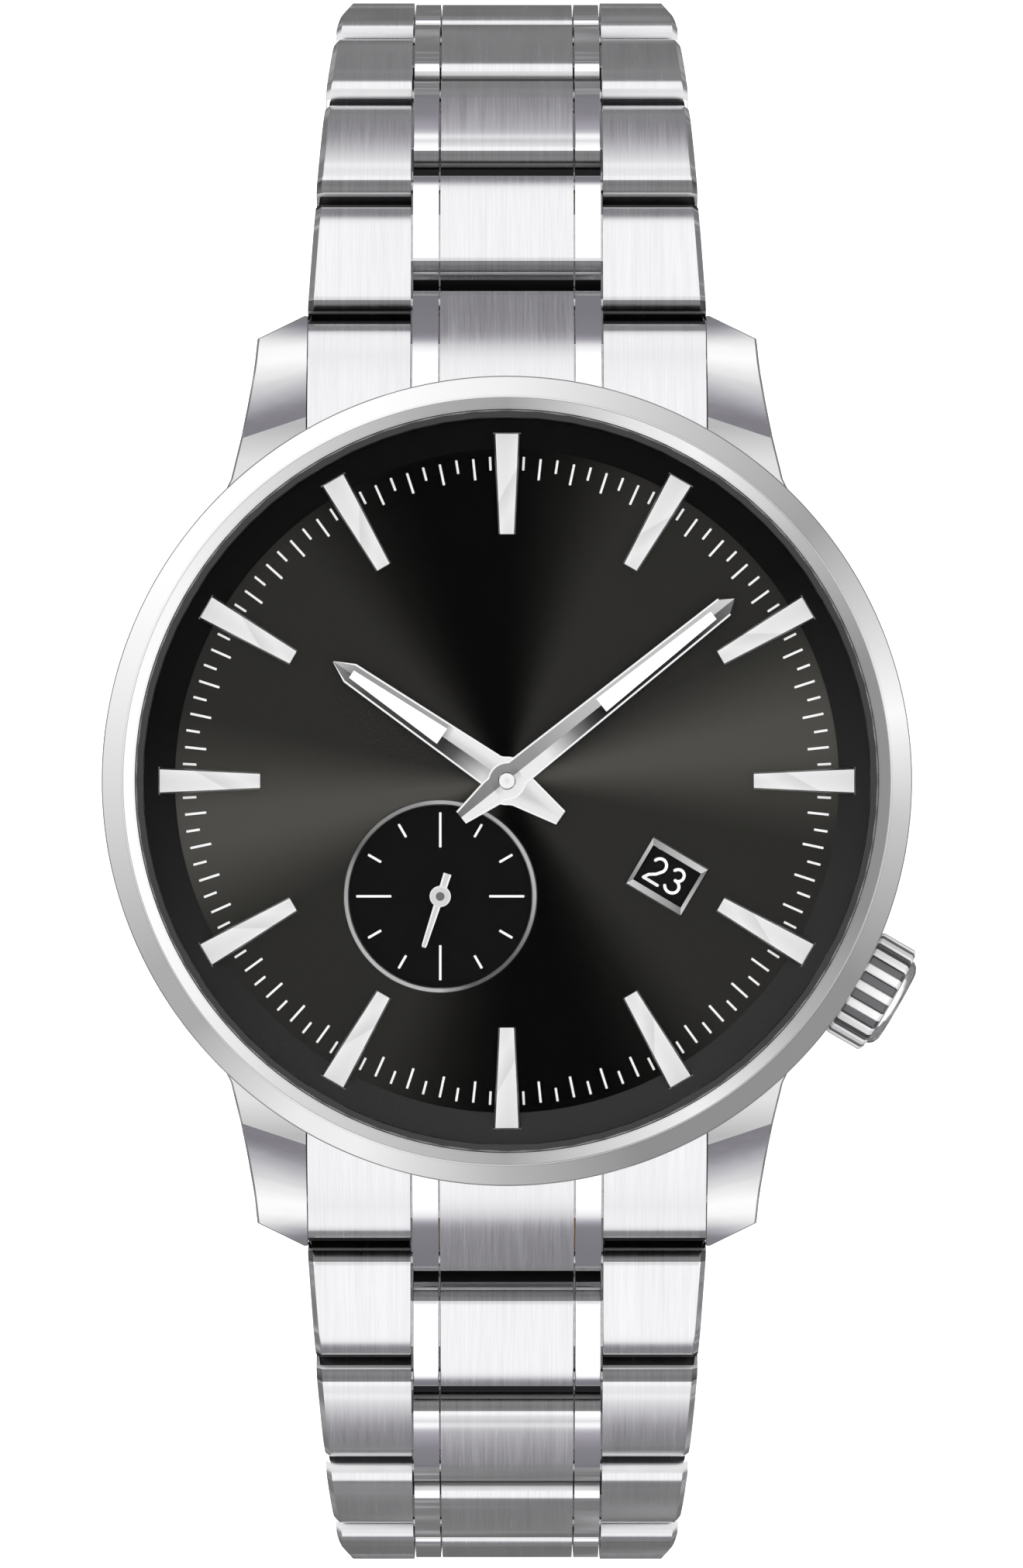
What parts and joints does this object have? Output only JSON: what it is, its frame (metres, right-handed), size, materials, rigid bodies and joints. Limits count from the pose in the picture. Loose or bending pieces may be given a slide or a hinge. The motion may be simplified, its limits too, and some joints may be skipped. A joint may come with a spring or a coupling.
{
  "type": "wristwatch",
  "caption": "Round steel automatic wristwatch with a black dial, small seconds, date window, fluted crown at four o'clock and a link bracelet with a folding clasp.",
  "frame": {"origin": "centre of the outer flat face of the case back's glass, which rests on the wrist", "axes": "+Z out of the dial, +Y towards 12 o'clock, +X towards 3 o'clock"},
  "size_m": [0.0446, 0.0894, 0.0565],
  "materials": {
    "case_steel": "polished stainless steel",
    "bezel_steel": "polished stainless steel",
    "link_steel": "brushed along the bracelet, polished strips beside the centre links",
    "back_steel": "circular brushed",
    "clasp_steel": "brushed",
    "pin_steel": "turned",
    "dial_silver": "polished, rhodium look",
    "dial_black": "black sunray",
    "flange_black": "gloss black",
    "date_black": "matt black with white numerals",
    "sapphire_glass": "clear, polished",
    "gasket_rubber": "black moulded",
    "holder_plastic": "moulded",
    "movement_plating": "plated brass, striped",
    "balance_brass": "polished"
  },
  "bodies": {
    "case": {"case_middle": "case_steel", "bezel": "bezel_steel", "crystal": "sapphire_glass", "crystal_gasket": "gasket_rubber", "flange_ring": "flange_black", "dial": "dial_black", "hour_marker_ring": "dial_silver", "small_seconds_rim": "dial_silver", "date_frame": "dial_silver", "movement_holder": "holder_plastic", "movement_plate": "movement_plating", "train_bridge": "movement_plating", "balance_cock": "movement_plating", "case_back": "back_steel", "case_back_glass": "sapphire_glass", "case_back_gasket": "gasket_rubber", "crown_tube": "pin_steel", "end_link_12": "link_steel", "end_link_6": "link_steel", "spring_bar_12": "pin_steel", "spring_bar_6": "pin_steel"},
    "winding_stem": {"winding_stem": "pin_steel"},
    "crown": {"crown": "case_steel"},
    "hour_hand": {"hour_hand": "dial_silver"},
    "minute_hand": {"minute_hand": "dial_silver"},
    "small_seconds_hand": {"small_seconds_hand": "dial_silver"},
    "date_wheel": {"date_wheel": "date_black"},
    "rotor": {"rotor": "movement_plating"},
    "balance_wheel": {"balance_wheel": "balance_brass"},
    "link_12_1": {"link_12_1": "link_steel"},
    "link_12_2": {"link_12_2": "link_steel"},
    "link_12_3": {"link_12_3": "link_steel"},
    "link_12_4": {"link_12_4": "link_steel"},
    "link_12_5": {"link_12_5": "link_steel"},
    "link_12_6": {"link_12_6": "link_steel"},
    "link_12_7": {"link_12_7": "link_steel"},
    "link_12_8": {"link_12_8": "link_steel"},
    "link_12_9": {"link_12_9": "link_steel"},
    "link_6_1": {"link_6_1": "link_steel"},
    "link_6_2": {"link_6_2": "link_steel"},
    "link_6_3": {"link_6_3": "link_steel"},
    "link_6_4": {"link_6_4": "link_steel"},
    "link_6_5": {"link_6_5": "link_steel"},
    "link_6_6": {"link_6_6": "link_steel"},
    "link_6_7": {"link_6_7": "link_steel"},
    "link_6_8": {"link_6_8": "link_steel"},
    "link_6_9": {"link_6_9": "link_steel"},
    "clasp_cover": {"clasp_cover": "clasp_steel", "clasp_spring_bar": "pin_steel", "clasp_hinge_pin": "pin_steel"},
    "clasp_blade_a": {"clasp_blade_a": "clasp_steel", "clasp_fold_pin": "pin_steel"},
    "clasp_blade_b": {"clasp_blade_b": "clasp_steel"},
    "clasp_button_3": {"clasp_button_3": "clasp_steel"},
    "clasp_button_9": {"clasp_button_9": "clasp_steel"}
  },
  "joints": [
    {"name": "stem_pull", "type": "slide", "parent": "case", "child": "winding_stem", "axis": [0.866, -0.5, 0], "range_m": [0, 0.001]},
    {"name": "crown_turn", "type": "hinge", "parent": "winding_stem", "child": "crown", "pos_m": [0.01992, -0.0115, 0.0049], "axis": [0.866, -0.5, 0], "continuous": true},
    {"name": "minute_hand_turn", "type": "hinge", "parent": "case", "child": "minute_hand", "pos_m": [0, 0, 0.0079], "axis": [0, 0, -1], "continuous": true},
    {"name": "hour_hand_turn", "type": "hinge", "parent": "case", "child": "hour_hand", "pos_m": [0, 0, 0.0075], "axis": [0, 0, -1], "continuous": true},
    {"name": "small_seconds_turn", "type": "hinge", "parent": "case", "child": "small_seconds_hand", "pos_m": [-0.00364, -0.00631, 0.0071], "axis": [0, 0, -1], "continuous": true},
    {"name": "date_wheel_turn", "type": "hinge", "parent": "case", "child": "date_wheel", "pos_m": [0, 0, 0.0063], "axis": [0, 0, -1], "continuous": true},
    {"name": "rotor_turn", "type": "hinge", "parent": "case", "child": "rotor", "pos_m": [0, 0, 0.0025], "axis": [0, 0, 1], "continuous": true},
    {"name": "balance_swing", "type": "hinge", "parent": "case", "child": "balance_wheel", "pos_m": [-0.0062, 0.0046, 0.0039], "axis": [0, 0, 1], "range_deg": [-150, 150]},
    {"name": "link_12_1_hinge", "type": "hinge", "parent": "case", "child": "link_12_1", "pos_m": [0, 0.0264, 0.001], "axis": [-1, 0, 0], "range_deg": [-20, 0]},
    {"name": "link_12_2_hinge", "type": "hinge", "parent": "link_12_1", "child": "link_12_2", "pos_m": [0, 0.03298, -0.00139], "axis": [-1, 0, 0], "range_deg": [-20, 0]},
    {"name": "link_12_3_hinge", "type": "hinge", "parent": "link_12_2", "child": "link_12_3", "pos_m": [0, 0.03834, -0.00589], "axis": [-1, 0, 0], "range_deg": [-20, 0]},
    {"name": "link_12_4_hinge", "type": "hinge", "parent": "link_12_3", "child": "link_12_4", "pos_m": [0, 0.04184, -0.01196], "axis": [-1, 0, 0], "range_deg": [-18, 0]},
    {"name": "link_12_5_hinge", "type": "hinge", "parent": "link_12_4", "child": "link_12_5", "pos_m": [0, 0.0433, -0.0188], "axis": [-1, 0, 0], "range_deg": [-16, 0]},
    {"name": "link_12_6_hinge", "type": "hinge", "parent": "link_12_5", "child": "link_12_6", "pos_m": [0, 0.04281, -0.02579], "axis": [-1, 0, 0], "range_deg": [-16, 0]},
    {"name": "link_12_7_hinge", "type": "hinge", "parent": "link_12_6", "child": "link_12_7", "pos_m": [0, 0.04041, -0.03236], "axis": [-1, 0, 0], "range_deg": [-18, 0]},
    {"name": "link_12_8_hinge", "type": "hinge", "parent": "link_12_7", "child": "link_12_8", "pos_m": [0, 0.0361, -0.03788], "axis": [-1, 0, 0], "range_deg": [-20, 0]},
    {"name": "link_12_9_hinge", "type": "hinge", "parent": "link_12_8", "child": "link_12_9", "pos_m": [0, 0.03017, -0.04159], "axis": [-1, 0, 0], "range_deg": [-18, 0]},
    {"name": "link_6_1_hinge", "type": "hinge", "parent": "case", "child": "link_6_1", "pos_m": [0, -0.0264, 0.001], "axis": [1, 0, 0], "range_deg": [-20, 0]},
    {"name": "link_6_2_hinge", "type": "hinge", "parent": "link_6_1", "child": "link_6_2", "pos_m": [0, -0.03298, -0.00139], "axis": [1, 0, 0], "range_deg": [-20, 0]},
    {"name": "link_6_3_hinge", "type": "hinge", "parent": "link_6_2", "child": "link_6_3", "pos_m": [0, -0.03834, -0.00589], "axis": [1, 0, 0], "range_deg": [-20, 0]},
    {"name": "link_6_4_hinge", "type": "hinge", "parent": "link_6_3", "child": "link_6_4", "pos_m": [0, -0.04184, -0.01196], "axis": [1, 0, 0], "range_deg": [-18, 0]},
    {"name": "link_6_5_hinge", "type": "hinge", "parent": "link_6_4", "child": "link_6_5", "pos_m": [0, -0.0433, -0.0188], "axis": [1, 0, 0], "range_deg": [-16, 0]},
    {"name": "link_6_6_hinge", "type": "hinge", "parent": "link_6_5", "child": "link_6_6", "pos_m": [0, -0.04281, -0.02579], "axis": [1, 0, 0], "range_deg": [-16, 0]},
    {"name": "link_6_7_hinge", "type": "hinge", "parent": "link_6_6", "child": "link_6_7", "pos_m": [0, -0.04041, -0.03236], "axis": [1, 0, 0], "range_deg": [-18, 0]},
    {"name": "link_6_8_hinge", "type": "hinge", "parent": "link_6_7", "child": "link_6_8", "pos_m": [0, -0.0361, -0.03788], "axis": [1, 0, 0], "range_deg": [-20, 0]},
    {"name": "link_6_9_hinge", "type": "hinge", "parent": "link_6_8", "child": "link_6_9", "pos_m": [0, -0.03017, -0.04159], "axis": [1, 0, 0], "range_deg": [-18, 0]},
    {"name": "clasp_cover_hinge", "type": "hinge", "parent": "link_12_9", "child": "clasp_cover", "pos_m": [0, 0.02337, -0.04328], "axis": [-1, 0, 0], "range_deg": [-30, 0]},
    {"name": "clasp_blade_a_hinge", "type": "hinge", "parent": "clasp_cover", "child": "clasp_blade_a", "pos_m": [0, -0.01798, -0.04373], "axis": [-1, 0, 0], "range_deg": [-100, 0]},
    {"name": "clasp_blade_b_hinge", "type": "hinge", "parent": "clasp_blade_a", "child": "clasp_blade_b", "pos_m": [0, 0.01837, -0.04293], "axis": [1, 0, 0], "range_deg": [-95, 0]},
    {"name": "clasp_button_3_press", "type": "slide", "parent": "clasp_cover", "child": "clasp_button_3", "axis": [-1, 0, 0], "range_m": [0, 0.0006], "stiffness_N_per_m": 600},
    {"name": "clasp_button_9_press", "type": "slide", "parent": "clasp_cover", "child": "clasp_button_9", "axis": [1, 0, 0], "range_m": [0, 0.0006], "stiffness_N_per_m": 600}
  ],
  "couplings": [
    {"joint": "hour_hand_turn", "follows": "minute_hand_turn", "ratio": 0.083333}
  ]
}
